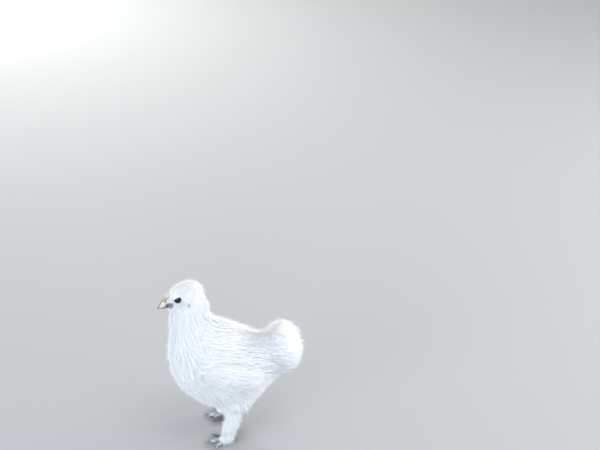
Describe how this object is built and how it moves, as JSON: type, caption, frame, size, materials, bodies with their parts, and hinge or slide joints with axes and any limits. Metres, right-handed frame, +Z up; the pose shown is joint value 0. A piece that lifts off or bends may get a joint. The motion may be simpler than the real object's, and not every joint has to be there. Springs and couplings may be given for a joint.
{
  "type": "silkie chicken model",
  "caption": "Still, life-size model of a white silkie pullet, standing on both feet with its head turned slightly to its left.",
  "frame": {"origin": "on the ground, under the middle of the bird's bounding box", "axes": "+Z up from the ground, -X the way the bird faces, -Y its left side"},
  "size_m": [0.2192, 0.1364, 0.2902],
  "materials": {
    "plumage": "soft white silky feathering, matte",
    "comb": "dark mulberry skin, finely wrinkled",
    "earlobe": "turquoise blue skin",
    "horn": "pale horn, satin",
    "slate_skin": "slate grey scaled skin",
    "eye": "black, wet gloss"
  },
  "bodies": {
    "root": {"trunk": "plumage", "tail": "plumage", "neck": "plumage", "wing_left": "plumage", "wing_right": "plumage", "head": "plumage", "crest": "plumage", "beak_upper": "horn", "beak_lower": "horn", "comb": "comb", "eye_left": "eye", "earlobe_left": "earlobe", "wattle_left": "comb", "eye_right": "eye", "earlobe_right": "earlobe", "wattle_right": "comb", "thigh_left": "plumage", "shank_left": "plumage", "foot_left": "slate_skin", "claw_left_1": "horn", "claw_left_2": "horn", "claw_left_3": "horn", "claw_left_4": "horn", "claw_left_5": "horn", "thigh_right": "plumage", "shank_right": "plumage", "foot_right": "slate_skin", "claw_right_1": "horn", "claw_right_2": "horn", "claw_right_3": "horn", "claw_right_4": "horn", "claw_right_5": "horn"}
  },
  "joints": []
}
